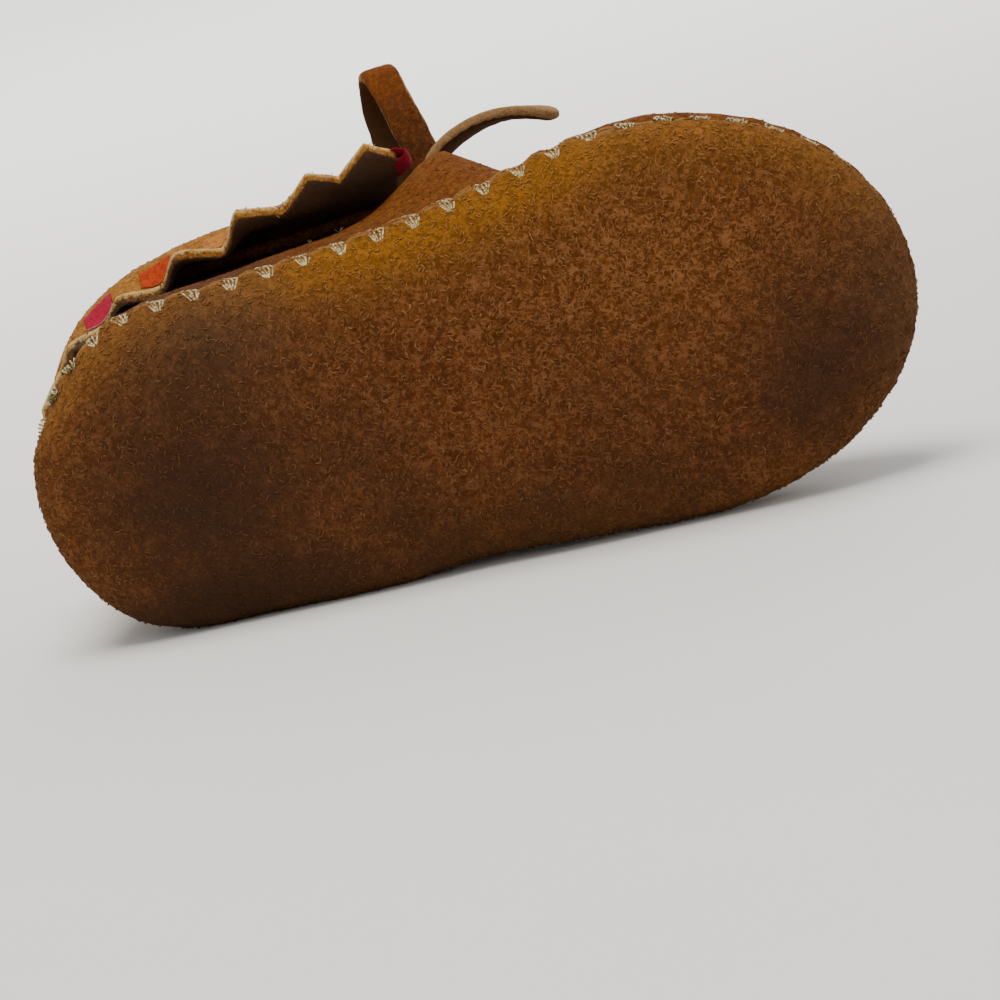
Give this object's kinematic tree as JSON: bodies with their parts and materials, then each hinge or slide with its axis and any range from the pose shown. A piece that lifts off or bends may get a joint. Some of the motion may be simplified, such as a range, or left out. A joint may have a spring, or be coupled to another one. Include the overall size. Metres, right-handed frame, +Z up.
{
  "type": "baby moccasin",
  "caption": "Soft-soled suede baby moccasin for the right foot: dished sole, plain closed vamp, turned-down toothed cuff, tongue, felt insole and a thong tied in a bow.",
  "frame": {"origin": "bottom centre of the box round the shoe without its bow, on the surface it lies on; the shoe lies on its inner side, resting on the edge of its sole and on its cuff", "axes": "+X from heel to toe, -Y the way the sole faces, +Z up, towards the shoe's outer side"},
  "size_m": [0.113, 0.0558, 0.0603],
  "materials": {
    "sole_suede": "matt, napped, dirty at heel and ball",
    "upper_suede": "matt, napped",
    "cuff_suede": "matt, napped, pale cut edge",
    "thong_suede": "matt, napped",
    "crimson_felt": "matt felt"
  },
  "bodies": {
    "root": {"sole": "sole_suede", "insole": "crimson_felt", "upper": "upper_suede", "cuff": "cuff_suede", "tongue": "upper_suede", "lace_run": "thong_suede", "lace_knot": "thong_suede", "lace_loop_outer": "thong_suede", "lace_loop_inner": "thong_suede", "lace_end_outer": "thong_suede", "lace_end_inner": "thong_suede"}
  },
  "joints": []
}
